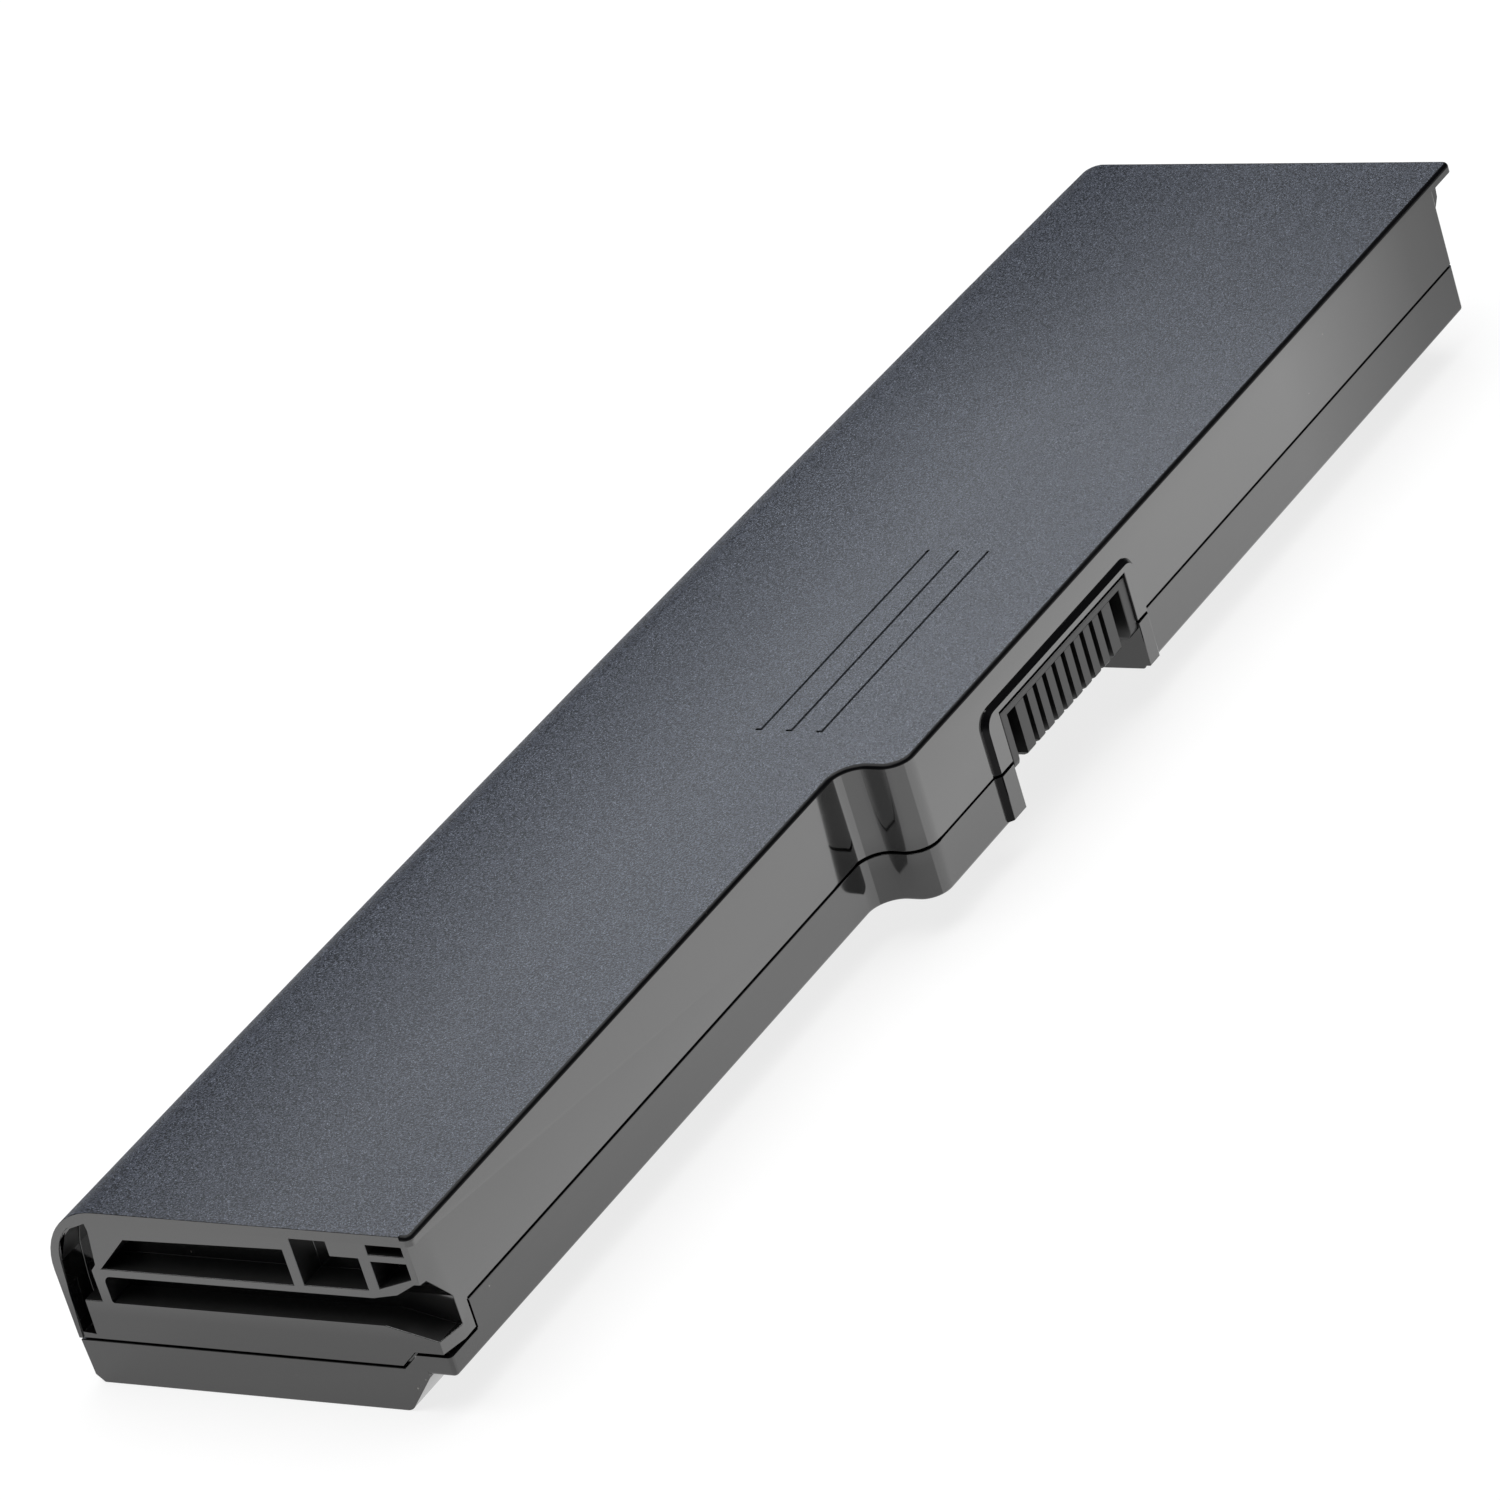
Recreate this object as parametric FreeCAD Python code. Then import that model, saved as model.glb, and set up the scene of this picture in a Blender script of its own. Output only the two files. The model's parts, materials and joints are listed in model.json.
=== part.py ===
import FreeCAD, Part
import math
import os

# Laptop battery: a six-cell pack in two moulded half shells, with a framed comb connector
# in its stepped inner wall and a cored guide end.
# Millimetres. While it is built, X runs from the guide end to the far end, Y from the
# connector wall to the rounded outer edge, and Z up from the belly.

# Cells, in two rows of three
CELL_RADIUS = 9.1
CELL_LENGTH = 65.2
CELL_BUTTON = 0.6
CELL_GAP = 0.1          # between the two rows
CELL_Z = CELL_RADIUS + 0.7
CELL_ROWS = (20.9, 20.9 + 2 * CELL_RADIUS + CELL_GAP)
RING_SIDES = 20
RING_THICK = 0.25
STRIP = 0.2
PAPER = 0.2
BAY_X0 = 4.2
BAY_X1 = BAY_X0 + 2 * PAPER + 4 * STRIP + 3 * CELL_LENGTH
BAY_SIDE = CELL_ROWS[1] + CELL_RADIUS
BAY_TOP = 2 * CELL_RADIUS + 0.3

# Outside of the pack
BODY_START = 0.15       # guide end face, set back under the top
BODY_END = BAY_X1 + 1.0
LENGTH = BODY_END + 3.0
HEIGHT = 2 * CELL_RADIUS + 1.5
EDGE_Y = BAY_SIDE + 2.2 # outer edge where its bow is fullest
BOW_X = 82.0            # where along the pack that is
BOW_RADIUS = 6250.0
BOW_RUNS = 6            # short straight runs that make up the bow
EDGE_ROUND = 7.0        # long top edge on the outer side
TOP_EDGE_ROUND = 0.45
TOP_PLATE = 1.1         # thickness of the top where it overhangs
CORNER_END = BODY_END - 1.7     # inner corner of the far end, cut back
CORNER_CUT = 5.5
RECESS_END = 2.9        # inner corner of the guide end, slanting in from the wall here
RECESS_DEPTH = 0.7

# Inner long wall: set back over the guide half, forward over the connector half
NEAR_WALL_Y = 6.7
STEP_X = 81.4
STEP_HOLLOW = 2.8
STEP_ROUND = 2.6
WALL = 1.3

# Underside: a belly as wide as two cells, and a higher floor under the inner wall
SHELF_Z = 4.25
BELLY_Y = 13.2
BELLY_ROUND = 1.2
SHELF_ROUND = 0.4
FLOOR = 1.2

# Parting between the shells
PARTING_WALL = 9.75
PARTING_CORNER = 6.5
PARTING_EDGE = 4.92
PARTING_JOG_X = 4.9     # where the parting drops from the wall's height to the corner's
SEAM = 0.3
SEAM_DEPTH = 0.6
TONGUE = 0.6
TONGUE_RISE = 1.2

# Connector: a raised frame on the wall around a comb-fronted block
FRAME_X0 = 95.5
FRAME_X1 = 127.9
FRAME_TOP = 16.6
FRAME_FOOT = 4.6
FRAME_PROUD = 0.6
FRAME_BEVEL = 0.5
OPEN_X0 = 98.4
OPEN_X1 = 125.4
OPEN_TOP = 15.5
NOTCH_DEPTH = 6.0
BLOCK_PLAY = 0.4        # gap above and on the guide side of the block
BLOCK_FRONT = -0.35
BLOCK_FOOT = 8.35
SLOT_TOP = 14.3
SLOT_DEPTH = 3.4
SLOT_FIRST = 103.45
SLOT_PITCH = 2.005
SLOT_WIDTH = 0.8
SLOT_FLARE = 0.3        # rounds off the feet of the teeth
SLOT_COUNT = 9
TEETH_BACK = 0.15       # teeth between the keyways stand back from the rib above them
KEYWAYS = ((99.95, 101.8), (121.95, 123.9))

# Three fine grooves on the top
GROOVE_X0 = 87.0
GROOVE_X1 = 122.0
GROOVE_Y = (12.2, 15.75, 19.3)
GROOVE_WIDTH = 0.32
GROOVE_DEPTH = 0.25

# Circuit board, standing behind the connector and ending beside the third cell
BOARD_X0 = 88.0
BOARD_X1 = BAY_X1 - 31.0
BOARD_PARTS = 128.0     # where the parts on the board begin
BOARD_Y = 8.0
BOARD_THICK = 1.0
BOARD_HEIGHT = 12.0

# From the corner used while building to the middle of the underside
CENTRE = FreeCAD.Vector(-LENGTH / 2, -(EDGE_Y - FRAME_PROUD) / 2, 0)


def outline(corners, place):
    """Closed wire through corners (a, b) or (a, b, radius), rounded where a radius is given."""
    count = len(corners)
    joints = []
    for i, corner in enumerate(corners):
        radius = corner[2] if len(corner) > 2 else 0
        here = FreeCAD.Vector(corner[0], corner[1], 0)
        last = corners[i - 1]
        following = corners[(i + 1) % count]
        back = (FreeCAD.Vector(last[0], last[1], 0) - here).normalize()
        ahead = (FreeCAD.Vector(following[0], following[1], 0) - here).normalize()
        if radius == 0:
            joints.append((here, here, None))
            continue
        half = back.getAngle(ahead) / 2
        reach = radius / math.tan(half)
        centre = here + (back + ahead).normalize() * (radius / math.sin(half))
        middle = centre + (here - centre).normalize() * radius
        joints.append((here + back * reach, here + ahead * reach, middle))
    edges = []
    for i, (start, end, middle) in enumerate(joints):
        if middle is not None:
            edges.append(Part.Arc(place(start), place(middle), place(end)).toShape())
        next_start = joints[(i + 1) % count][0]
        if (next_start - end).Length > 1e-6:
            edges.append(Part.makeLine(place(end), place(next_start)))
    return Part.Wire(edges)


def along_x(corners, x0, x1):
    """Solid from an outline of (y, z), run from x0 to x1."""
    wire = outline(corners, lambda p: FreeCAD.Vector(x0, p.x, p.y))
    return Part.Face(wire).extrude(FreeCAD.Vector(x1 - x0, 0, 0))


def along_y(corners, y0, y1):
    """Solid from an outline of (x, z), run from y0 to y1."""
    wire = outline(corners, lambda p: FreeCAD.Vector(p.x, y0, p.y))
    return Part.Face(wire).extrude(FreeCAD.Vector(0, y1 - y0, 0))


def along_z(corners, z0, z1):
    """Solid from an outline of (x, y), run from z0 to z1."""
    wire = outline(corners, lambda p: FreeCAD.Vector(p.x, p.y, z0))
    return Part.Face(wire).extrude(FreeCAD.Vector(0, 0, z1 - z0))


def box(x0, x1, y0, y1, z0, z1):
    return Part.makeBox(x1 - x0, y1 - y0, z1 - z0, FreeCAD.Vector(x0, y0, z0))


def rod_x(x0, x1, y, z, radius):
    return Part.makeCylinder(radius, x1 - x0, FreeCAD.Vector(x0, y, z), FreeCAD.Vector(1, 0, 0))


def bow(x):
    """How far the outer side is drawn in at x."""
    return (x - BOW_X) ** 2 / (2 * BOW_RADIUS)


def bowed(corners):
    """Solid from an outline of (y, z) at the fullest point, run along the outer bow."""
    start = -5.0
    run = (LENGTH + 10.0) / BOW_RUNS
    solid = None
    for i in range(BOW_RUNS):
        x = start + i * run
        wire = outline(corners, lambda p: FreeCAD.Vector(x, p.x - bow(x), p.y))
        way = FreeCAD.Vector(run, bow(x) - bow(x + run), 0)
        piece = Part.Face(wire).extrude(way)
        solid = piece if solid is None else solid.fuse(piece)
    return solid


def plan(start, end, round_start):
    """Corners (x, y) of the pack seen from above, between two ends."""
    return [
        (start, NEAR_WALL_Y, round_start),
        (STEP_X, NEAR_WALL_Y, STEP_HOLLOW),
        (STEP_X, 0, STEP_ROUND),
        (end, 0, 0.8),
        (end, 60),
        (start, 60),
    ]


def outer_body():
    """The closed pack as one solid, without its top plate's overhang."""
    corner_plan = [
        (BODY_START, NEAR_WALL_Y, 0.5),
        (STEP_X, NEAR_WALL_Y, STEP_HOLLOW),
        (STEP_X, 0, STEP_ROUND),
        (CORNER_END, 0, 0.5),
        (CORNER_END, CORNER_CUT, 0.8),
        (BODY_END, CORNER_CUT, 1.0),
        (BODY_END, 60),
        (BODY_START, 60),
    ]
    upper = along_z(corner_plan, SHELF_Z, HEIGHT - TOP_PLATE / 2)
    foot = [e for e in upper.Edges
            if e.BoundBox.ZMax < SHELF_Z + 0.01 and e.BoundBox.YMax < 9.3
            and e.BoundBox.XMax < CORNER_END + 0.01]
    upper = upper.makeFillet(SHELF_ROUND, foot)
    belly = along_x([
        (BELLY_Y, 0, BELLY_ROUND),
        (60, 0),
        (60, SHELF_Z + 1.5),
        (BELLY_Y - 3.3, SHELF_Z + 1.5),
        (BELLY_Y - 3.3, SHELF_Z - 0.3),
    ], BODY_START, BODY_END)
    return upper.fuse(belly)


def top_plate():
    plate = along_z(plan(0, LENGTH, 0.8), HEIGHT - TOP_PLATE, HEIGHT)
    rim = [e for e in plate.Edges
           if e.BoundBox.ZMin > HEIGHT - 0.01 and e.BoundBox.YMax < 60.01 and e.BoundBox.YMin < 59]
    return plate.makeFillet(TOP_EDGE_ROUND, rim)


def edge_limit():
    """Everything inside the bowed outer side, its round top edge and its drafted lower half."""
    return bowed([
        (-20, -1),
        (EDGE_Y - 0.25 - 0.8, -1),
        (EDGE_Y - 0.25 - 0.8, 0),
        (EDGE_Y - 0.25, 0.8),
        (EDGE_Y, PARTING_EDGE),
        (EDGE_Y, HEIGHT, EDGE_ROUND),
        (-20, HEIGHT),
    ])


def bay(grow):
    """Room inside for the cells and the board, made larger all round by grow."""
    side = BAY_SIDE + grow
    cells = along_x([
        (BELLY_Y + 1.1 - grow, FLOOR - grow),
        (side, FLOOR - grow, 1.0),
        (side, BAY_TOP + grow, 5.8),
        (8.6 - grow, BAY_TOP + grow),
        (8.6 - grow, SHELF_Z + FLOOR - grow),
        (BELLY_Y - 2.2 - grow, SHELF_Z + FLOOR - grow),
    ], BAY_X0 - grow, BAY_X1 + grow)
    wall = WALL - grow
    board = along_z([
        (BAY_X0 - grow, NEAR_WALL_Y + wall),
        (STEP_X + wall, NEAR_WALL_Y + wall, STEP_HOLLOW - wall),
        (STEP_X + wall, wall, STEP_ROUND - wall),
        (CORNER_END - wall, wall),
        (CORNER_END - wall, 20),
        (BAY_X0 - grow, 20),
    ], SHELF_Z + FLOOR - grow, BAY_TOP + grow)
    return cells.fuse(board)


def below_parting(shift):
    """Everything that belongs to the lower shell; shift moves the parting up or down."""
    wall = along_x([
        (-20, -5),
        (60, -5),
        (60, PARTING_EDGE + shift),
        (12.4, PARTING_EDGE + shift),
        (10.8, PARTING_WALL + shift),
        (-20, PARTING_WALL + shift),
    ], PARTING_JOG_X, LENGTH + 20)
    end = along_x([
        (-20, -5),
        (60, -5),
        (60, PARTING_EDGE + shift),
        (12.4, PARTING_EDGE + shift),
        (10.7, PARTING_CORNER + shift),
        (-20, PARTING_CORNER + shift),
    ], -20, PARTING_JOG_X)
    return wall.fuse(end)


def seam():
    """Shadow gap around the outside, where the shells meet."""
    core = along_z([
        (BODY_START + SEAM_DEPTH, NEAR_WALL_Y + SEAM_DEPTH),
        (STEP_X + SEAM_DEPTH, NEAR_WALL_Y + SEAM_DEPTH, STEP_HOLLOW - SEAM_DEPTH),
        (STEP_X + SEAM_DEPTH, SEAM_DEPTH, STEP_ROUND - SEAM_DEPTH),
        (CORNER_END - SEAM_DEPTH, SEAM_DEPTH),
        (CORNER_END - SEAM_DEPTH, CORNER_CUT + SEAM_DEPTH),
        (BODY_END - SEAM_DEPTH, CORNER_CUT + SEAM_DEPTH),
        (BODY_END - SEAM_DEPTH, 60),
        (BODY_START + SEAM_DEPTH, 60),
    ], -1, HEIGHT + 1)
    side = bowed([
        (-20, -1),
        (EDGE_Y - SEAM_DEPTH, -1),
        (EDGE_Y - SEAM_DEPTH, HEIGHT + 1),
        (-20, HEIGHT + 1),
    ])
    band = below_parting(SEAM / 2).cut(below_parting(-SEAM / 2))
    jog = box(PARTING_JOG_X - SEAM / 2, PARTING_JOG_X + SEAM / 2, -20, 10.6, PARTING_CORNER, PARTING_WALL)
    return band.fuse(jog).cut(core.common(side))


def frame():
    """Raised frame around the connector, open below."""
    pad = along_y([
        (FRAME_X0, FRAME_FOOT),
        (FRAME_X1, FRAME_FOOT),
        (FRAME_X1, FRAME_TOP, 2.0),
        (FRAME_X0, FRAME_TOP, 2.2),
    ], -FRAME_PROUD, 1.0)
    rim = [e for e in pad.Edges
           if e.BoundBox.YMax < -FRAME_PROUD + 0.01 and e.BoundBox.ZMax > FRAME_FOOT + 0.1]
    return pad.makeChamfer(FRAME_BEVEL, rim)


def connector_opening():
    """Cut for the connector block through the wall, and the notch below it."""
    through = box(OPEN_X0, OPEN_X1, -2, WALL + 0.01, BLOCK_FOOT - 0.01, OPEN_TOP)
    notch = box(OPEN_X0, OPEN_X1, -2, NOTCH_DEPTH, 0, BLOCK_FOOT)
    return through.fuse(notch)


def notch_walls():
    """Block whose rim closes the notch off from the inside of the lower shell."""
    return box(OPEN_X0 - FLOOR, OPEN_X1 + FLOOR, 0.6, NOTCH_DEPTH + FLOOR, SHELF_Z + 0.2, BLOCK_FOOT)


def guide_end_pockets():
    """Cored pockets, guide slot and edge gap of the guide end, seen along X as (y, z)."""
    back = 3.2
    pockets = [
        [(22.0, 13.2), (44.3, 13.2), (40.5, 16.7), (22.0, 17.1)],
        [(13.5, 13.35), (20.8, 13.3), (20.8, 18.4), (16.7, 18.4), (16.7, 16.8), (13.5, 16.8)],
        [(8.2, 17.35), (12.2, 17.35), (12.2, 18.4), (8.2, 18.4)],
        [(8.2, 14.9), (12.2, 13.6), (12.2, 16.55), (8.2, 16.55)],
        [(47.8, 5.6), (47.7, 9.45), (45.6, 9.45), (45.6, 12.9), (44.9, 13.6), (44.4, 17.4),
         (44.5, 18.2), (46.4, 17.5), (48.0, 16.0), (48.7, 13.8), (49.15, 10.0), (49.3, 5.6)],
    ]
    guide = [(44.4, 9.35, 0.3), (44.4, 12.35, 0.8), (13.0, 12.5), (10.4, 13.0), (8.1, 14.3),
             (5.0, 14.3), (5.0, 8.3), (7.4, 8.1), (12.9, 9.45)]
    flare = along_y([(0.9, 14.4), (back + 0.1, 14.4), (back + 0.1, 11.2), (back, 11.2)], 4, 12.4)
    cut = along_x(guide, -1, back).cut(flare)
    for shape in pockets:
        cut = cut.fuse(along_x(shape, -1, back))
    corner = along_z([
        (-1, 4),
        (RECESS_END, 4),
        (RECESS_END, NEAR_WALL_Y),
        (BODY_START, NEAR_WALL_Y + RECESS_DEPTH),
        (BODY_START, 12),
        (-1, 12),
    ], PARTING_CORNER, HEIGHT - TOP_PLATE)
    return cut.fuse(corner)


def guide_end_lip():
    """Thin skin of the cover that reaches past the end face along the top and outer side."""
    wide = along_x([
        (NEAR_WALL_Y + 1.2, 17.0),
        (EDGE_Y + 1, 17.0),
        (EDGE_Y + 1, HEIGHT),
        (NEAR_WALL_Y + 1.2, HEIGHT),
    ], 0, 1.0)
    side = box(0, 1.0, 40, EDGE_Y + 1, PARTING_EDGE, HEIGHT)
    inside = along_x([
        (0, PARTING_EDGE - 1),
        (49.55, PARTING_EDGE - 1),
        (48.9, 12.5),
        (48.3, HEIGHT - TOP_PLATE, 5.2),
        (0, HEIGHT - TOP_PLATE),
    ], -1, BODY_START)
    return wide.fuse(side).cut(inside)


def shells():
    limit = edge_limit()
    body = outer_body().fuse(top_plate())
    gusset = along_y([(CORNER_END - 0.5, 16.4), (CORNER_END + 0.1, 16.4), (CORNER_END + 1.0, 17.4),
                      (CORNER_END + 1.0, 18.7), (CORNER_END - 0.5, 18.7)], 0.3, 1.3)
    body = body.fuse(gusset).fuse(guide_end_lip()).fuse(frame())
    body = body.common(limit)

    room = bay(0)
    body = body.cut(room)
    below = below_parting(0)
    lower = body.common(below)
    upper = body.cut(below)

    tongue = bay(TONGUE).common(below_parting(TONGUE_RISE)).cut(below).cut(room)
    tongue = tongue.cut(box(OPEN_X0 - 3, OPEN_X1 + 3, -2, 4, 0, HEIGHT))
    lower = lower.fuse(tongue)
    upper = upper.cut(tongue)

    gap = seam()
    lower = lower.fuse(notch_walls()).cut(connector_opening()).cut(gap)
    upper = upper.cut(connector_opening()).cut(gap)
    upper = upper.cut(guide_end_pockets())

    for y in CELL_ROWS:
        lower = lower.cut(rod_x(BAY_X0, BAY_X1, y, CELL_Z + 0.1, CELL_RADIUS + 0.1))
        upper = upper.cut(rod_x(BAY_X0, BAY_X1, y, CELL_Z, CELL_RADIUS + 0.1))
    for y in GROOVE_Y:
        upper = upper.cut(groove(y))
    for x in (BOARD_X0 + 2, BOARD_X1 - 4):
        for y0, y1 in ((BOARD_Y - 1.4, BOARD_Y), (BOARD_Y + BOARD_THICK, BOARD_Y + BOARD_THICK + 1.2)):
            lower = lower.fuse(box(x, x + 2, y0, y1, SHELF_Z + 0.5, SHELF_Z + FLOOR + 2.6))
    return upper.removeSplitter(), lower.removeSplitter()


def groove(y):
    """One fine groove with its end hooked toward the outer edge."""
    run = box(GROOVE_X0, GROOVE_X1, y, y + GROOVE_WIDTH, HEIGHT - GROOVE_DEPTH, HEIGHT + 1)
    hook = box(GROOVE_X0, GROOVE_X0 + GROOVE_WIDTH, y, y + 0.8, HEIGHT - GROOVE_DEPTH, HEIGHT + 1)
    return run.fuse(hook)


def contact(i):
    """Blade contact: a forked tip in its slot, a stem through the block and a pin in the board."""
    x = SLOT_FIRST + i * SLOT_PITCH + SLOT_WIDTH / 2
    blade = outline([
        (1.5, 9.6, 0.4), (4.0, 9.6), (4.0, 10.2), (BOARD_Y, 10.2), (BOARD_Y, 10.8),
        (BOARD_Y + 1.9, 10.8), (BOARD_Y + 1.9, 11.4), (BOARD_Y, 11.4), (BOARD_Y, 12.2),
        (4.0, 12.2), (4.0, 12.9), (1.5, 12.9, 0.4), (1.5, 11.7), (3.0, 11.7), (3.0, 10.8), (1.5, 10.8),
    ], lambda p: FreeCAD.Vector(x - 0.2, p.x, p.y))
    return Part.Face(blade).extrude(FreeCAD.Vector(0.4, 0, 0))


def connector_block(contacts):
    """Comb-fronted block with a flange behind the wall."""
    x0 = OPEN_X0 + BLOCK_PLAY
    x1 = OPEN_X1
    block = along_x([
        (BLOCK_FRONT, BLOCK_FOOT, 1.1),
        (BLOCK_FRONT, OPEN_TOP - BLOCK_PLAY - 0.15),
        (BLOCK_FRONT + 0.15, OPEN_TOP - BLOCK_PLAY),
        (BOARD_Y, OPEN_TOP - BLOCK_PLAY),
        (BOARD_Y, BLOCK_FOOT),
    ], x0, x1)
    flange = box(OPEN_X0 - 1.0, OPEN_X1 + 1.0, WALL, WALL + 1.0, PARTING_WALL + 1.5, OPEN_TOP + 1.0)
    block = block.fuse(flange)
    slots = [(SLOT_FIRST + i * SLOT_PITCH, SLOT_FIRST + i * SLOT_PITCH + SLOT_WIDTH)
             for i in range(SLOT_COUNT)]
    for left, right in list(KEYWAYS) + slots:
        block = block.cut(along_y([
            (left - SLOT_FLARE, BLOCK_FOOT - 1),
            (right + SLOT_FLARE, BLOCK_FOOT - 1),
            (right + SLOT_FLARE, BLOCK_FOOT),
            (right, BLOCK_FOOT + 1.5 * SLOT_FLARE),
            (right, SLOT_TOP),
            (left, SLOT_TOP),
            (left, BLOCK_FOOT + 1.5 * SLOT_FLARE),
            (left - SLOT_FLARE, BLOCK_FOOT),
        ], -2, SLOT_DEPTH))
    block = block.cut(box(KEYWAYS[0][1], KEYWAYS[1][0], -2, BLOCK_FRONT + TEETH_BACK, BLOCK_FOOT - 1, SLOT_TOP))
    for piece in contacts:
        block = block.cut(piece)
    return block.removeSplitter()


def cell(x, y):
    """Sealed cell, its flat end at x and its raised button toward +X."""
    shoulder = CELL_LENGTH - CELL_BUTTON
    r = CELL_RADIUS
    profile = [
        (0, 0), (0, r), (shoulder - 0.6, r), (shoulder, r - 0.6), (shoulder, 4.2),
        (CELL_LENGTH, 4.2), (CELL_LENGTH, 0),
    ]
    wire = outline(profile, lambda p: FreeCAD.Vector(x + p.x, y, CELL_Z - p.y))
    return Part.Face(wire).revolve(FreeCAD.Vector(x, y, CELL_Z), FreeCAD.Vector(1, 0, 0), 360)


def ring_edge(radius, y):
    """Many-sided outline of (y, z) around the axis of a cell."""
    turn = 2 * math.pi / RING_SIDES
    return [(y + radius * math.cos(i * turn), CELL_Z + radius * math.sin(i * turn))
            for i in range(RING_SIDES)]


def cell_ring(x, y):
    """Paper ring on the button end of a cell."""
    start = x + CELL_LENGTH - CELL_BUTTON
    end = start + RING_THICK
    return along_x(ring_edge(8.2, y), start, end).cut(along_x(ring_edge(4.8, y), start, end))


def strip(x, tab_y, tab_z0, tab_z1):
    """Nickel strip across both rows at x, with a tab toward the inner wall."""
    near, far = CELL_ROWS
    across = along_x([
        (near - 5, CELL_Z - 3.5), (far + 5, CELL_Z - 3.5),
        (far + 5, CELL_Z + 3.5), (near - 5, CELL_Z + 3.5),
    ], x, x + STRIP)
    tab = along_x([
        (near - 4, CELL_Z - 1), (near - 1, CELL_Z + 3), (near - 3, tab_z1), (tab_y, tab_z1),
        (tab_y, tab_z0), (near - 6, tab_z0),
    ], x, x + STRIP)
    return across.fuse(tab).removeSplitter()


def save(name, shape):
    placed = shape.copy()
    placed.translate(CENTRE)
    placed.exportStep("parts/" + name + ".step")


os.makedirs("parts", exist_ok=True)

top_cover, bottom_cover = shells()
save("top_cover", top_cover)
save("bottom_cover", bottom_cover)

contacts = [contact(i) for i in range(SLOT_COUNT)]
save("connector_block", connector_block(contacts))

board = box(BOARD_X0, BOARD_X1, BOARD_Y, BOARD_Y + BOARD_THICK,
            SHELF_Z + FLOOR, SHELF_Z + FLOOR + BOARD_HEIGHT)
for i, piece in enumerate(contacts):
    save("contact_%d" % (i + 1), piece)
    board = board.cut(piece)
save("circuit_board", board)

# Cells, each row in series, the two rows side by side
first = BAY_X0 + PAPER + STRIP
starts = [first + i * (CELL_LENGTH + STRIP) for i in range(3)]
number = 0
for x in starts:
    for y in CELL_ROWS:
        number += 1
        save("cell_%d" % number, cell(x, y))
        save("cell_ring_%d" % number, cell_ring(x, y))

# Strips: the third has a foot on the board, the others meet leads
third_x = starts[2] - STRIP
back = BOARD_Y + BOARD_THICK
end_x = starts[2] + CELL_LENGTH
foot = box(third_x, third_x + 3.6, back, back + STRIP, 13.6, 16.8)
strips = {
    "strip_1": strip(first - STRIP, 9.2, 14.6, 17.4),
    "strip_2": strip(starts[1] - STRIP, 9.2, 11.5, 13.6),
    "strip_3": strip(third_x, back, 13.6, 16.8).fuse(foot).removeSplitter(),
    "strip_4": strip(end_x, 9.2, 14.6, 17.4),
}
for name, piece in strips.items():
    save(name, piece)

# Insulating papers between the end strips and the end walls
sheet = [(14.5, 2.4), (44.5, 2.4), (46.5, 4.4), (46.5, 15.2),
         (44.5, 17.2), (14.5, 17.2), (12.5, 15.2), (12.5, 4.4)]
for name, x in (("end_paper_near", BAY_X0), ("end_paper_far", BAY_X1 - PAPER)):
    save(name, along_x(sheet, x, x + PAPER))

# Leads from the end strips and the first tap, soldered along the back of the board
save("lead_minus", rod_x(first, BOARD_X0 + 4, back + 0.8, 16.1, 0.8))
save("lead_tap", rod_x(starts[1], BOARD_X0 + 4, back + 0.6, 12.6, 0.6))
save("lead_plus", rod_x(BOARD_X1 - 3, end_x, back + 0.8, 16.1, 0.8))

# Parts on the connector side of the board, each at its share of the room beside the connector
face = BOARD_Y
for name, share, wide, z0, tall, thick in (
        ("fuel_gauge_chip", 0.14, 8.0, 8.6, 4.4, 1.1),
        ("protector_chip", 0.43, 5.0, 8.6, 4.4, 1.1),
        ("switch_chip_1", 0.62, 5.0, 8.4, 4.0, 1.5),
        ("switch_chip_2", 0.80, 5.0, 8.4, 4.0, 1.5),
        ("sense_resistor", 0.38, 6.4, 14.0, 2.6, 0.6),
        ("chip_fuse", 0.66, 5.5, 13.6, 3.2, 1.3),
        ("capacitor_1", 0.05, 3.2, 14.6, 1.6, 1.6),
        ("capacitor_2", 0.19, 3.2, 14.6, 1.6, 1.6)):
    x0 = BOARD_PARTS + share * (BOARD_X1 - BOARD_PARTS)
    save(name, box(x0, x0 + wide, face - thick, face, z0, z0 + tall))

# Temperature sensor between the board and the third cell of the row beside it
edge = CELL_ROWS[0] - CELL_RADIUS
sensor_x = starts[2] + 14.6
save("thermistor", along_z([(sensor_x, back), (sensor_x + 2.4, back),
                            (sensor_x + 2.4, edge, 0.8), (sensor_x, edge, 0.8)],
                           CELL_Z - 1.2, CELL_Z + 1.2))

# Sheet between the board's pins and the cells
save("board_insulator", box(BOARD_X0 + 6, BOARD_PARTS + 5, edge - PAPER, edge, 6.4, 12.8))

# Foam on the floor ridge between the rows
middle = sum(CELL_ROWS) / 2
for i, x in enumerate(starts):
    save("foam_pad_%d" % (i + 1), box(x + 12, x + CELL_LENGTH - 13.2, middle - 3, middle + 3, FLOOR, 2.9))
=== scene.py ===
"""Finishes and studio for the laptop battery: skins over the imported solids, light and camera."""
import bpy
import bmesh
import json
import math
from mathutils import Matrix, Vector


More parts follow.
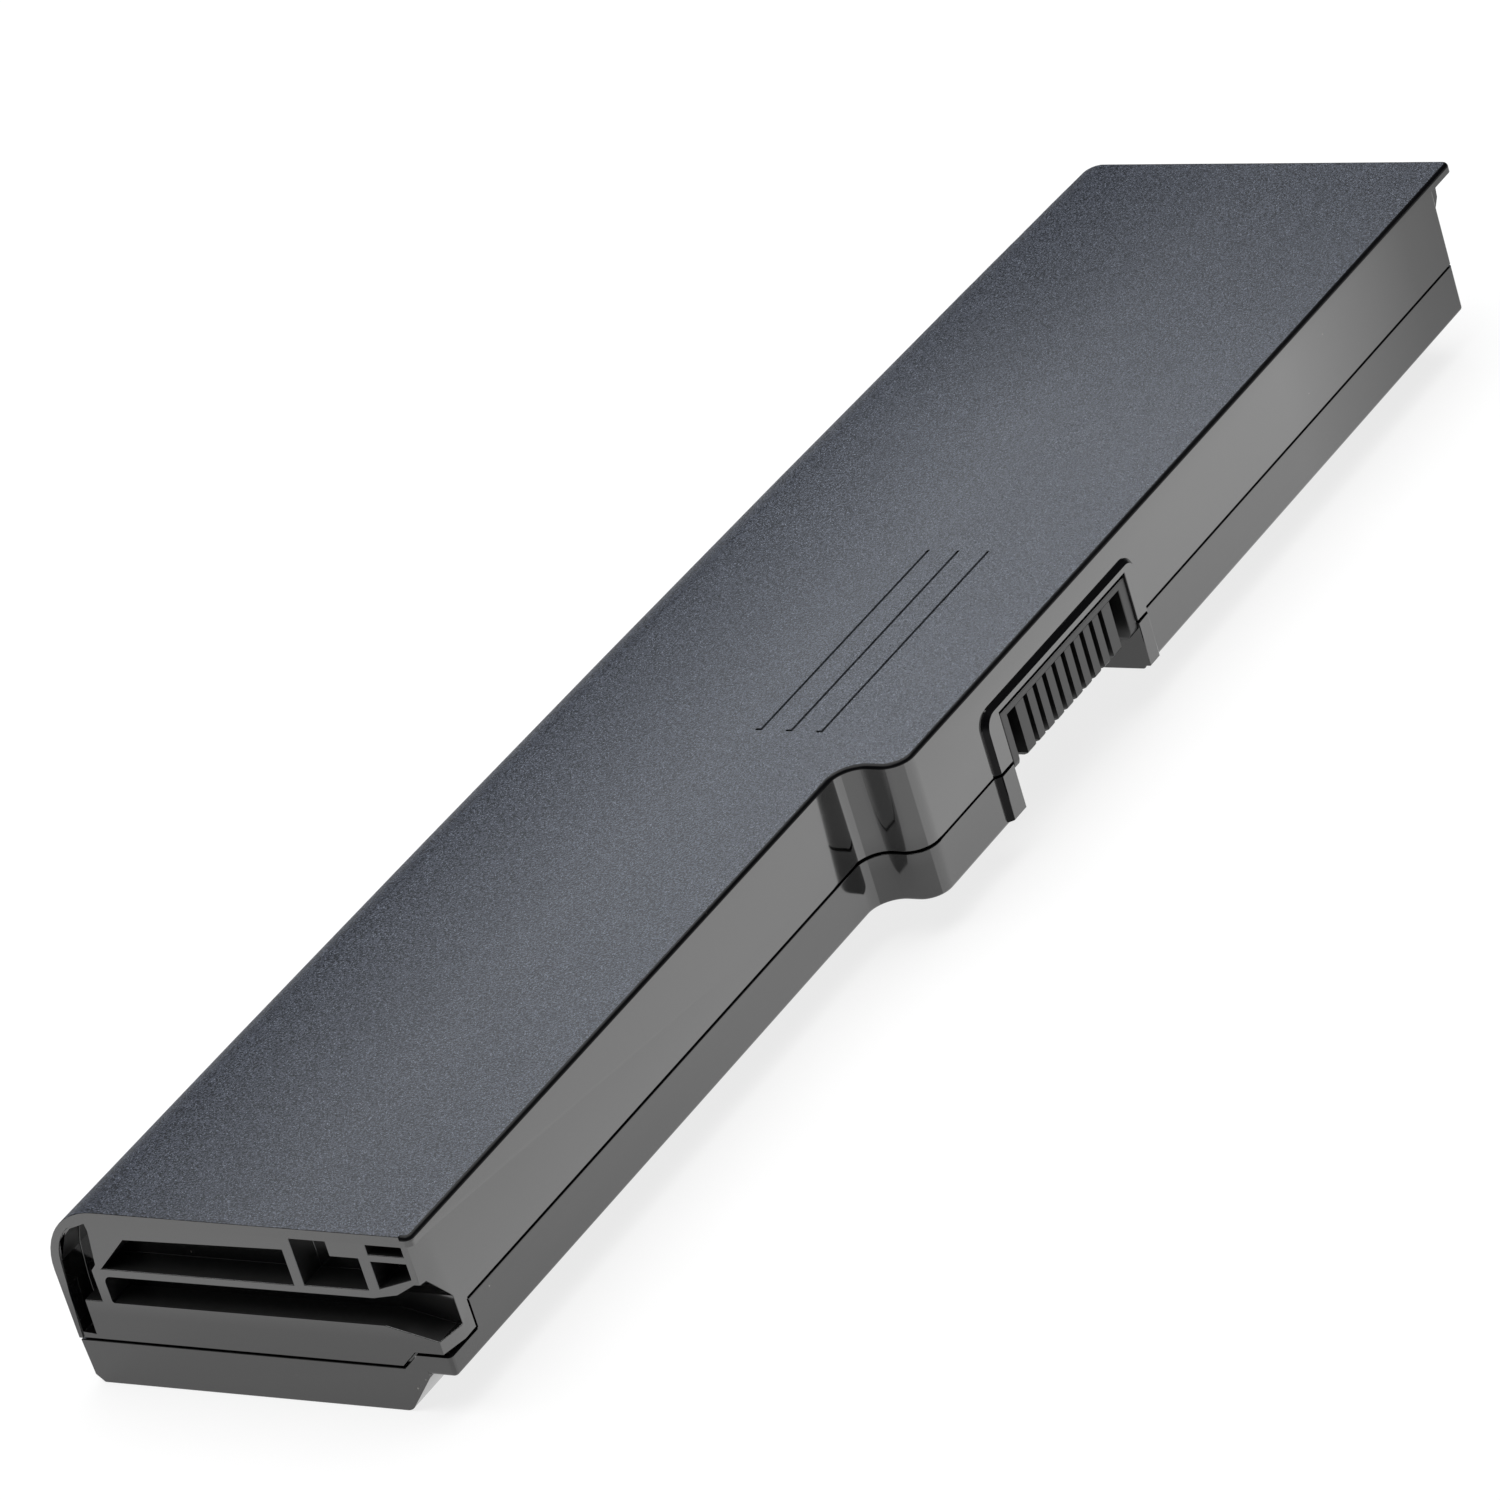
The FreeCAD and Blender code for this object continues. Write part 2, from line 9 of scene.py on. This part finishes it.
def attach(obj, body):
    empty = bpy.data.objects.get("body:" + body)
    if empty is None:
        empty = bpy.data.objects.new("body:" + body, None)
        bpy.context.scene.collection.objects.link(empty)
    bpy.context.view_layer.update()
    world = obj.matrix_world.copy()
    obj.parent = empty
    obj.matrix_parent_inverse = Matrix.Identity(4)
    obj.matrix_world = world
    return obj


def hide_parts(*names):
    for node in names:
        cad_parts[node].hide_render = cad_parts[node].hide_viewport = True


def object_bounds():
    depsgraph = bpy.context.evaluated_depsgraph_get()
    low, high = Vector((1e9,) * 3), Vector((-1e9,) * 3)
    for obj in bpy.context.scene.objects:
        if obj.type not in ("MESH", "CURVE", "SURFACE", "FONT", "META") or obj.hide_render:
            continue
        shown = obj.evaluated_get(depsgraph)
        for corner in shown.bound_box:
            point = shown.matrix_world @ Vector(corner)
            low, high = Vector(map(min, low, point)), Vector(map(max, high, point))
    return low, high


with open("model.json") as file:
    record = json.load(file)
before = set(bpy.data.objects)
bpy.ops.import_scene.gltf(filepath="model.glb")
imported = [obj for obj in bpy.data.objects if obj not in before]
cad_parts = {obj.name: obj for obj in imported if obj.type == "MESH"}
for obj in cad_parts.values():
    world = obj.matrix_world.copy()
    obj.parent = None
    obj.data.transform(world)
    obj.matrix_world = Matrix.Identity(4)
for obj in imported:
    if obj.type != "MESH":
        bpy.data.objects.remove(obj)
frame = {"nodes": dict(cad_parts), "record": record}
cad_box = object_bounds()
NODES = frame["nodes"]
SCENE = bpy.context.scene
MM = 0.001
GUIDE_END = cad_box[0][0]
FAR_END = cad_box[1][0]
TOP = cad_box[1][2]

# Meshing of the skins
SHARED = 2e-6                       # facet corners closer than this are one
FLAT = math.radians(0.12)           # facets that turn less are joined
SHARP = math.radians(30)            # edges that turn more are shaded sharp
TURNED = math.radians(40)           # edges that turn more are softened

# Places that tell the finishes of the covers and the connector apart
TOP_SKIN = 0.3 * MM                 # the top face lies within this of the pack's height
RIM_DEPTH = 0.6 * MM                # and its rounded rim within this
BELLY_SKIN = 0.5 * MM               # the belly lies within this of the floor
OUTER_SIDE_Y = 15 * MM              # the rounded outer side lies beyond this
GRAIN_FOOT = 5.4 * MM               # lower end of the grain there
PARTING_FOOT = 3 * MM               # the faces that meet at the parting lie between these heights
PARTING_TOP = 12 * MM
FRAME_SIDE_X = (-9 * MM, -4 * MM)   # guide side bevel of the connector frame
POCKETS_X = -91 * MM                # the guide end is cored up to here
POCKETS_Y = (-17.5 * MM, 23.5 * MM)
POCKETS_Z = (5 * MM, 18.4 * MM)
RIB_FOOT = 14.2 * MM                # lower end of the rib over the connector's slots

FAR_END_SHADE = 0.38                       # share of a polished wall's reflection left at the far end: painted shade


class Finish:
    """A Principled material, with short calls for the node chains that the finishes share."""

    def __init__(self, name, **values):
        self.mat = bpy.data.materials.new(name)
        self.mat.use_nodes = True
        tree = self.mat.node_tree
        self.nodes = tree.nodes
        self.links = tree.links
        self.bsdf = next(n for n in tree.nodes if n.type == "BSDF_PRINCIPLED")
        self.place = self.nodes.new("ShaderNodeTexCoord").outputs["Object"]
        for key, value in values.items():
            self.bsdf.inputs[key.replace("_", " ")].default_value = value

    def stretched(self, scale):
        node = self.nodes.new("ShaderNodeMapping")
        node.inputs["Scale"].default_value = scale
        self.links.new(self.place, node.inputs["Vector"])
        return node.outputs["Vector"]

    def noise(self, scale, detail=2.0, roughness=0.5, stretch=None):
        node = self.nodes.new("ShaderNodeTexNoise")
        node.inputs["Scale"].default_value = scale
        node.inputs["Detail"].default_value = detail
        node.inputs["Roughness"].default_value = roughness
        self.links.new(self.stretched(stretch) if stretch else self.place, node.inputs["Vector"])
        return node.outputs["Fac"]

    def spots(self, scale):
        node = self.nodes.new("ShaderNodeTexVoronoi")
        node.inputs["Scale"].default_value = scale
        self.links.new(self.place, node.inputs["Vector"])
        return node.outputs["Distance"]

    def ramp(self, source, lo, hi, out_lo=0.0, out_hi=1.0):
        node = self.nodes.new("ShaderNodeMapRange")
        for key, value in (("From Min", lo), ("From Max", hi), ("To Min", out_lo), ("To Max", out_hi)):
            node.inputs[key].default_value = value
        self.links.new(source, node.inputs["Value"])
        return node.outputs["Result"]

    def mix(self, factor, a, b):
        node = self.nodes.new("ShaderNodeMix")
        node.data_type = "RGBA"
        self.links.new(factor, node.inputs[0])
        for socket, value in ((node.inputs[6], a), (node.inputs[7], b)):
            if isinstance(value, tuple):
                socket.default_value = (*value, 1.0)
            else:
                self.links.new(value, socket)
        return node.outputs[2]

    def maths(self, operation, a, b):
        node = self.nodes.new("ShaderNodeMath")
        node.operation = operation
        for socket, value in ((node.inputs[0], a), (node.inputs[1], b)):
            if isinstance(value, (int, float)):
                socket.default_value = value
            else:
                self.links.new(value, socket)
        return node.outputs[0]

    def plus(self, a, b):
        return self.maths("ADD", a, b)

    def times(self, a, b):
        return self.maths("MULTIPLY", a, b)

    def bump(self, height, strength, distance):
        node = self.nodes.new("ShaderNodeBump")
        node.inputs["Strength"].default_value = strength
        node.inputs["Distance"].default_value = distance
        self.links.new(height, node.inputs["Height"])
        self.links.new(node.outputs["Normal"], self.bsdf.inputs["Normal"])

    def along(self, axis):
        node = self.nodes.new("ShaderNodeSeparateXYZ")
        self.links.new(self.place, node.inputs["Vector"])
        return node.outputs[axis]

    def colour(self, source):
        self.links.new(source, self.bsdf.inputs["Base Color"])

    def rough(self, source):
        self.links.new(source, self.bsdf.inputs["Roughness"])


def grained_plastic():
    """Spark-eroded grain of the top: a fine blue grey speckle with painted glints, rubbed smoother towards
    the connector, and a painted sheen, strongest near the connector and weaker towards the outer side and
    both ends.
    """
    f = Finish("case_grained", IOR=1.5)
    grain = f.noise(4200, 2.0, 0.6)
    glint = f.noise(7800, 1.0, 0.5)
    cloud = f.noise(28, 3.0, 0.55)
    base = f.mix(f.ramp(grain, 0.44, 0.58), (0.002, 0.0025, 0.004), (0.045, 0.050, 0.066))
    # bright flecks in the base colour: painted glints of the grain
    base = f.mix(f.ramp(glint, 0.60, 0.68), base, (0.18, 0.20, 0.24))
    f.colour(f.mix(f.ramp(cloud, 0.3, 0.7, 0.0, 0.2), base, (0.018, 0.021, 0.028)))
    near = f.ramp(f.along("X"), GUIDE_END, 0.0, 0.82, 1.0)
    far = f.ramp(f.along("X"), 0.045, FAR_END - 5 * MM, 1.0, 0.42)
    sides = f.times(near, far)
    # painted sheen: reflection strongest near the connector wall, weaker towards the outer side and both
    # ends
    painted_sheen = f.times(f.ramp(f.along("Y"), -0.002, 0.022, 0.52, 0.08), sides)
    f.links.new(painted_sheen, f.bsdf.inputs["Specular IOR Level"])
    worn = f.plus(f.ramp(f.along("Y"), -0.02, 0.023, -0.03, 0.05), f.ramp(sides, 1.0, 0.68, -0.02, 0.05))
    f.rough(f.plus(f.ramp(glint, 0.35, 0.65, 0.30, 0.52), worn))
    f.bump(grain, 1.0, 0.00006)
    return f.mat


def polished_plastic(name, base, glow, low, high, shine=1.0, lacquer=0.0, start=1.0, rise=0.0):
    """Polished moulded plastic: faint flow marks, hair scratches, a breath of dust, and painted shade that
    weakens its reflection towards the ends.

    Base and glow are its two colours, low and high its roughness, shine its reflection at the near end.
    The clear coat is the lacquer, a share of it at the guide end (start) and none at the far end, or it
    begins above the lower cover (rise). These fades of coat and reflection are painted shade, darker
    towards the ends and towards the bottom.
    """
    f = Finish(name, IOR=1.6, Coat_Roughness=0.06, Coat_IOR=1.6)
    flow = f.noise(60, 3.0, 0.55, (0.35, 1.0, 1.0))
    scratch = f.noise(900, 2.0, 0.7, (0.05, 1.0, 1.6))
    dust = f.ramp(f.spots(420), 0.05, 0.03)
    pick = f.ramp(f.noise(95, 1.0), 0.60, 0.66)
    f.colour(f.mix(f.times(dust, pick), f.mix(f.ramp(flow, 0.3, 0.7), base, glow), (0.22, 0.21, 0.19)))
    wear = f.ramp(scratch, 0.60, 0.78, 0.0, 0.05)
    f.rough(f.plus(f.ramp(flow, 0.3, 0.7, low, high), wear))
    # coat weight fades towards the ends, or is missing low down with rise: painted shade
    if rise:
        coat = f.ramp(f.along("Z"), 0.008, 0.012, 0.0, rise)
    else:
        near = f.ramp(f.along("X"), GUIDE_END, -0.028, start, 1.0)
        far = f.ramp(f.along("X"), 0.060, 0.090, lacquer, 0.0)
        coat = f.times(near, far)
    f.links.new(coat, f.bsdf.inputs["Coat Weight"])
    # reflection falls to a share of itself at the far end: painted shade
    reflection = f.ramp(f.along("X"), 0.062, 0.098, shine, shine * FAR_END_SHADE)
    f.links.new(reflection, f.bsdf.inputs["Specular IOR Level"])
    f.bump(f.noise(240, 2.0, 0.5), 0.05, 0.00003)
    return f.mat


def contact_plate():
    """Gold-flashed blade contacts, rubbed along their length."""
    f = Finish("contact_plate", Metallic=1.0)
    streak = f.noise(2600, 2.0, 0.6, (1.0, 0.08, 1.0))
    f.colour(f.mix(f.ramp(streak, 0.35, 0.65), (0.72, 0.50, 0.20), (0.86, 0.67, 0.34)))
    f.rough(f.ramp(streak, 0.3, 0.7, 0.22, 0.38))
    f.bump(streak, 0.2, 0.00001)
    return f.mat


def sleeve_film():
    """Shrunk sleeve of a cell: thin glossy film with small shrink ripples."""
    f = Finish("sleeve_film", IOR=1.48, Coat_Weight=0.25, Coat_Roughness=0.12)
    ripple = f.noise(120, 2.0, 0.5, (1.0, 0.4, 0.4))
    f.colour(f.mix(f.ramp(ripple, 0.3, 0.7), (0.015, 0.16, 0.13), (0.02, 0.21, 0.17)))
    f.rough(f.ramp(f.noise(300), 0.3, 0.7, 0.26, 0.38))
    f.bump(ripple, 0.25, 0.0001)
    return f.mat


def pressed_paper():
    """Barley insulating paper with its fibres."""
    f = Finish("pressed_paper", IOR=1.4)
    fibre = f.noise(700, 4.0, 0.7, (1.0, 0.25, 1.0))
    f.colour(f.mix(f.ramp(fibre, 0.3, 0.7), (0.19, 0.24, 0.20), (0.28, 0.33, 0.27)))
    f.rough(f.ramp(fibre, 0.3, 0.7, 0.72, 0.9))
    f.bump(fibre, 0.4, 0.00005)
    return f.mat


def rolled_nickel():
    """Rolled nickel strip with weld marks left dull."""
    f = Finish("rolled_nickel", Metallic=1.0)
    roll = f.noise(1800, 2.0, 0.6, (1.0, 0.06, 1.0))
    f.colour(f.mix(f.ramp(roll, 0.3, 0.7), (0.56, 0.54, 0.50), (0.70, 0.68, 0.63)))
    f.rough(f.plus(f.ramp(roll, 0.3, 0.7, 0.22, 0.36), f.ramp(f.noise(160), 0.55, 0.7, 0.0, 0.15)))
    f.bump(roll, 0.2, 0.00001)
    return f.mat


def board_laminate():
    """Circuit board: green solder mask over glass weave."""
    f = Finish("board_laminate", IOR=1.5, Coat_Weight=0.4, Coat_Roughness=0.18)
    warp = f.noise(1400, 1.0, 0.5, (1.0, 1.0, 0.15))
    weft = f.noise(1400, 1.0, 0.5, (0.15, 1.0, 1.0))
    weave = f.times(warp, weft)
    f.colour(f.mix(f.ramp(weave, 0.15, 0.35), (0.008, 0.10, 0.035), (0.014, 0.15, 0.055)))
    f.rough(f.ramp(weave, 0.15, 0.35, 0.34, 0.46))
    f.bump(weave, 0.2, 0.00002)
    return f.mat


def plain_grain(name, dark, light, scale, low, high):
    """Small parts: a grain of two tones, with roughness from low to high."""
    f = Finish(name, IOR=1.5)
    grain = f.noise(scale, 3.0, 0.6)
    f.colour(f.mix(f.ramp(grain, 0.32, 0.68), dark, light))
    f.rough(f.ramp(grain, 0.3, 0.7, low, high))
    f.bump(grain, 0.2, 0.00003)
    return f.mat


def open_foam():
    """Open-celled foam pad."""
    f = Finish("open_foam", IOR=1.4)
    cell = f.spots(2200)
    f.colour(f.mix(f.ramp(cell, 0.1, 0.6), (0.012, 0.012, 0.013), (0.06, 0.06, 0.062)))
    f.rough(f.ramp(cell, 0.1, 0.6, 0.8, 0.95))
    f.bump(cell, 0.8, 0.0002)
    return f.mat


def skin(node, finishes, soften=0.0, pick=None, spare=3.0):
    """Shown copy of a CAD node: joined facets, softened edges, smooth where it is round.

    An edge is softened where it and its neighbours are longer than spare times the softening. The new
    strip takes the finish with the lower index of its two faces.
    """
    mesh = NODES[node].data.copy()
    mesh.name = node + "_skin"
    for extra in [a.name for a in mesh.attributes if a.name.startswith(("custom_normal", "sharp"))]:
        mesh.attributes.remove(mesh.attributes[extra])
    mesh.materials.clear()
    for finish in finishes:
        mesh.materials.append(finish)
    bm = bmesh.new()
    bm.from_mesh(mesh)
    bmesh.ops.remove_doubles(bm, verts=bm.verts, dist=SHARED)
    bmesh.ops.dissolve_limit(bm, angle_limit=FLAT, verts=bm.verts, edges=bm.edges)
    bm.normal_update()
    weight = bm.edges.layers.float.new("bevel_weight_edge")
    for edge in bm.edges:
        around = [e for v in edge.verts for e in v.link_edges]
        clear = min(e.calc_length() for e in around) > spare * soften * MM
        turned = len(edge.link_faces) == 2 and edge.calc_face_angle() > TURNED
        edge[weight] = 1.0 if clear and turned else 0.0
    for face in bm.faces:
        face.smooth = True
        face.material_index = pick(face) if pick else 0
    bm.to_mesh(mesh)
    bm.free()
    mesh.set_sharp_from_angle(angle=SHARP)
    piece = bpy.data.objects.new(node + "_skin", mesh)
    SCENE.collection.objects.link(piece)
    if soften:
        bevel = piece.modifiers.new("soft_edges", "BEVEL")
        bevel.width = soften * MM
        bevel.segments = 2
        bevel.limit_method = "WEIGHT"
        bevel.use_clamp_overlap = False
        bevel.harden_normals = True
        bevel.miter_outer = "MITER_SHARP"
    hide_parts(node)
    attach(piece, "root")


def within(value, span):
    return span[0] < value < span[1]


def frame_side(face):
    """Guide side bevel of the connector frame."""
    slanted = face.normal.x < -0.5 and face.normal.y < -0.5
    return slanted and within(face.calc_center_median().x, FRAME_SIDE_X)


def case_face(face):
    """0 rims and bevels in painted shade and the dark parting, 1 grained top and outer side, 2 walls, 3
    guide end in painted shade, 4 its pockets.
    """
    middle = face.calc_center_median()
    n = face.normal
    top_face = n.z > 0.995 and middle.z > TOP - TOP_SKIN
    outer_side = n.y > 0.05 and n.z > -0.02 and middle.y > OUTER_SIDE_Y and middle.z > GRAIN_FOOT
    if top_face or outer_side:
        return 1
    # the top's rounded rim and the connector frame's bevels take the near-black finish: painted shade
    rim = n.z > 0.05 and middle.z > TOP - RIM_DEPTH
    bevel = n.y < -0.3 and within(n.z, (0.3, 0.93))
    if rim or bevel or frame_side(face):
        return 0
    if n.x < -0.5:
        return 3
    if middle.x < POCKETS_X and within(middle.y, POCKETS_Y) and within(middle.z, POCKETS_Z):
        return 4
    return 0 if n.z < -0.5 and middle.z < PARTING_TOP else 2


def belly_face(face):
    """0 frame bevel in painted shade and the dark parting, 1 grained belly, 2 walls in painted shade, 3
    guide end in painted shade.
    """
    middle = face.calc_center_median()
    if face.normal.z < -0.7 and middle.z < BELLY_SKIN:
        return 1
    # frame bevel in painted shade; the faces turned up at the parting are the dark joint
    if frame_side(face) or face.normal.z > 0.9 and middle.z > PARTING_FOOT:
        return 0
    return 3 if face.normal.x < -0.5 else 2


def block_face(face):
    """0 feet of the teeth in painted shade, 1 matte teeth and slots, 2 rib over the slots."""
    # faces turned down at the teeth's feet take the near-black finish: painted shade
    if face.normal.z < -0.4:
        return 0
    return 2 if face.normal.y < -0.3 and face.calc_center_median().z > RIB_FOOT else 1


GRAINED = grained_plastic()
BLACK = (0.005, 0.005, 0.005)
PALER = (0.007, 0.007, 0.007)
POLISHED = polished_plastic(
    "case_polished", (0.005, 0.005, 0.0048), (0.0075, 0.0073, 0.007), 0.05, 0.08, lacquer=0.9, start=0.75)
# lower cover: less shine and lacquer than the walls above, painted shade that darkens the lower walls
LOWER = polished_plastic("case_lower", BLACK, PALER, 0.06, 0.09, shine=0.9, lacquer=0.5, start=0.0)
# guide end: less shine and a coat only higher up, painted shade that darkens the end, more towards the
# bottom
END = polished_plastic("case_end", BLACK, PALER, 0.08, 0.13, shine=0.7, rise=0.6)
CORED = polished_plastic("case_cored", (0.010, 0.010, 0.010), (0.014, 0.014, 0.014), 0.28, 0.36)
# near-black and barely reflecting: painted shade on the top's rim, the frame's bevels and the teeth's feet,
# and also the dark parting joint
RIM = polished_plastic("case_rim", (0.0015, 0.0015, 0.002), (0.0025, 0.0025, 0.003), 0.25, 0.33, shine=0.12)
RIB = polished_plastic("connector_rib", BLACK, PALER, 0.12, 0.17, lacquer=0.4)
INSIDE = polished_plastic(
    "connector_matte", (0.008, 0.008, 0.008), (0.011, 0.011, 0.011), 0.26, 0.34, shine=0.55)

skin("top_cover", [RIM, GRAINED, POLISHED, END, CORED], soften=0.09, pick=case_face)
skin("bottom_cover", [RIM, GRAINED, LOWER, END], soften=0.09, pick=belly_face)
skin("connector_block", [RIM, INSIDE, RIB], soften=0.11, pick=block_face, spare=1.2)

SMALL = {
    "contact_metal": contact_plate(),
    "cell_sleeve": sleeve_film(),
    "insulating_paper": pressed_paper(),
    "nickel": rolled_nickel(),
    "board": board_laminate(),
    "foam": open_foam(),
}
# Two tones, scale of the grain, lowest and highest roughness
GRAINS = {
    "chip_resin": ((0.010, 0.010, 0.011), (0.022, 0.022, 0.023), 2400, 0.45, 0.6),
    "fuse_body": ((0.20, 0.19, 0.17), (0.30, 0.29, 0.26), 1800, 0.4, 0.55),
    "ceramic": ((0.30, 0.20, 0.12), (0.42, 0.30, 0.19), 2600, 0.35, 0.5),
    "sensor_resin": ((0.012, 0.014, 0.030), (0.02, 0.024, 0.05), 1500, 0.3, 0.42),
    "lead_black": ((0.010, 0.010, 0.010), (0.020, 0.020, 0.020), 900, 0.38, 0.5),
    "lead_red": ((0.35, 0.012, 0.010), (0.46, 0.02, 0.016), 900, 0.38, 0.5),
    "lead_white": ((0.55, 0.55, 0.52), (0.68, 0.68, 0.65), 900, 0.38, 0.5),
}
for name, look in GRAINS.items():
    SMALL[name] = plain_grain(name, *look)

# The parts inside, each in the finish of its slot
for entry in frame["record"]["subparts"]:
    slot_name = entry["material_slot"]
    if slot_name in SMALL:
        skin(entry["node"], [SMALL[slot_name]])


# Studio: white paper floor, one overhead box and one low box that the top mirrors softly
def paper():
    """White paper, lit like the part and lifted towards white where the camera or a mirror sees it."""
    f = Finish("studio_paper", IOR=1.35, Specular_IOR_Level=0.1)
    fibre = f.noise(90, 3.0, 0.6)
    f.colour(f.mix(f.ramp(fibre, 0.3, 0.7), (0.93, 0.93, 0.925), (0.96, 0.96, 0.955)))
    f.rough(f.ramp(fibre, 0.3, 0.7, 0.85, 0.95))
    path = f.nodes.new("ShaderNodeLightPath").outputs
    seen = f.maths("MAXIMUM", path["Is Camera Ray"], path["Is Glossy Ray"])
    white = f.nodes.new("ShaderNodeEmission")
    blend = f.nodes.new("ShaderNodeMixShader")
    f.links.new(f.times(seen, 0.8), blend.inputs[0])
    f.links.new(f.bsdf.outputs[0], blend.inputs[1])
    f.links.new(white.outputs[0], blend.inputs[2])
    output = next(n for n in f.nodes if n.type == "OUTPUT_MATERIAL")
    f.links.new(blend.outputs[0], output.inputs["Surface"])
    return f.mat


FLOOR_HALF = 3.0
floor_mesh = bpy.data.meshes.new("floor")
corners = [(x * FLOOR_HALF, y * FLOOR_HALF, 0) for x, y in ((-1, -1), (1, -1), (1, 1), (-1, 1))]
floor_mesh.from_pydata(corners, [], [(0, 1, 2, 3)])
floor = bpy.data.objects.new("floor", floor_mesh)
SCENE.collection.objects.link(floor)
floor.data.materials.append(paper())
floor.location.z = -0.05 * MM


def area(name, place, target, size, watts, tint=(1.0, 1.0, 1.0)):
    light = bpy.data.lights.new(name, "AREA")
    light.shape = "RECTANGLE"
    light.size, light.size_y = size
    light.energy = watts
    light.color = tint
    lamp = bpy.data.objects.new(name, light)
    SCENE.collection.objects.link(lamp)
    lamp.location = place
    lamp.rotation_euler = (Vector(target) - Vector(place)).to_track_quat("-Z", "Y").to_euler()


area("overhead", (0.05, 0.10, 0.95), (0, 0, 0), (1.5, 1.2), 19.0)
area("low_box", (0.80, 0.62, 0.62), (0.02, 0, 0), (0.55, 0.35), 1.6, (0.84, 0.905, 1.0))

world = bpy.data.worlds.new("studio")
SCENE.world = world
world.use_nodes = True
world.node_tree.nodes["Background"].inputs["Color"].default_value = (0.93, 0.95, 1.0, 1.0)
world.node_tree.nodes["Background"].inputs["Strength"].default_value = 0.06

# Camera: place and directions fitted to the straight edges in the photograph
camera = bpy.data.cameras.new("camera")
camera.sensor_width = 36.0
camera.lens = 199.978
camera.clip_start = 0.01
camera.clip_end = 20.0
RIGHT = (0.48666246, -0.83186008, -0.26677418)
DOWN = (-0.52199326, -0.03203681, -0.85234775)
AHEAD = (0.70048747, 0.55405998, -0.44981646)
EYE = (-0.58931556, -0.45737601, 0.38582109)
shot = bpy.data.objects.new("camera", camera)
SCENE.collection.objects.link(shot)
shot.matrix_world = Matrix([(RIGHT[i], -DOWN[i], -AHEAD[i], EYE[i]) for i in range(3)] + [(0, 0, 0, 1)])
SCENE.camera = shot
SCENE.view_settings.view_transform = "Standard"
